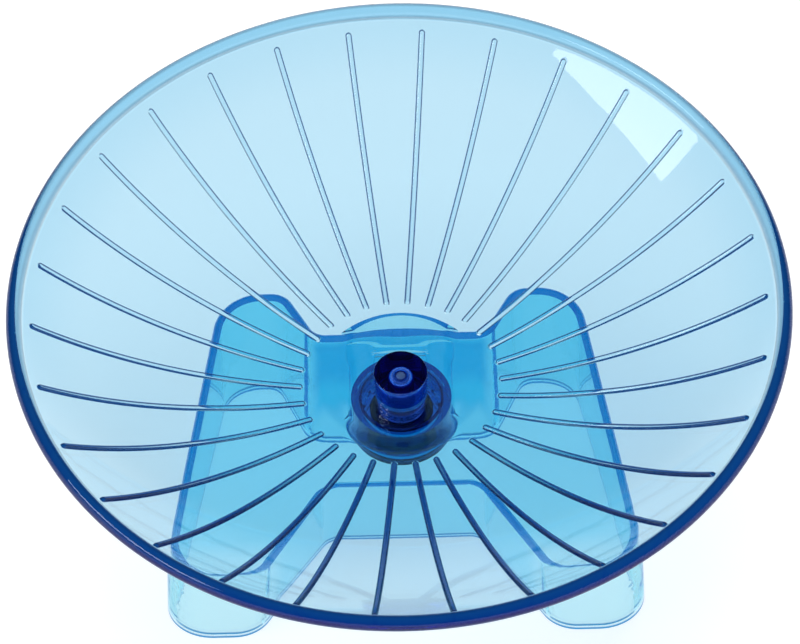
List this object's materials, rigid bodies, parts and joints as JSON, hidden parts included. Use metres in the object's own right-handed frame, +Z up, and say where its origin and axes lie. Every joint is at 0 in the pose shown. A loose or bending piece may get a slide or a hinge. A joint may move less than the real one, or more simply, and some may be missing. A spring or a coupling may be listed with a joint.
{
  "type": "hamster wheel",
  "caption": "Shallow round running dish with raised radial ribs, turning on a tilted ball bearing over a low hollow stand with two feet and two lobes.",
  "frame": {"origin": "on the floor, under the centre of the dish's rim", "axes": "+Z up, +Y towards the high rear of the tilted dish, +X to the right seen from the low front"},
  "size_m": [0.18, 0.1774, 0.0865],
  "materials": {
    "dish_plastic": "clear blue moulded plastic, polished",
    "stand_plastic": "clear blue moulded plastic, polished",
    "post_plastic": "deep blue clear plastic, polished",
    "housing_plastic": "clear blue moulded plastic",
    "ring_plastic": "clear blue moulded plastic",
    "race_steel": "dark polished bearing steel",
    "ball_steel": "polished",
    "cage_steel": "pressed, plain",
    "shield_steel": "pressed, satin",
    "spindle_steel": "turned, bright",
    "washer_steel": "flat, satin",
    "clip_steel": "spring steel, dark"
  },
  "bodies": {
    "base": {"stand": "stand_plastic", "bearing_housing": "housing_plastic", "lock_ring": "ring_plastic", "outer_race": "race_steel", "shield_upper": "shield_steel", "shield_lower": "shield_steel"},
    "spinner": {"saucer": "dish_plastic", "hub_post": "post_plastic", "spindle": "spindle_steel", "spacer_washer": "washer_steel", "inner_race": "race_steel", "lower_washer": "washer_steel", "retaining_clip": "clip_steel"},
    "ball_set": {"balls": "ball_steel", "cage_upper": "cage_steel", "cage_lower": "cage_steel"}
  },
  "joints": [
    {"name": "saucer_spin", "type": "hinge", "parent": "base", "child": "spinner", "pos_m": [0, 0.00533, 0.0392], "axis": [0, -0.1736, 0.9848], "continuous": true},
    {"name": "ball_roll", "type": "hinge", "parent": "base", "child": "ball_set", "pos_m": [0, 0.00533, 0.0392], "axis": [0, -0.1736, 0.9848], "continuous": true}
  ],
  "couplings": [
    {"joint": "ball_roll", "follows": "saucer_spin", "ratio": 0.3877}
  ]
}
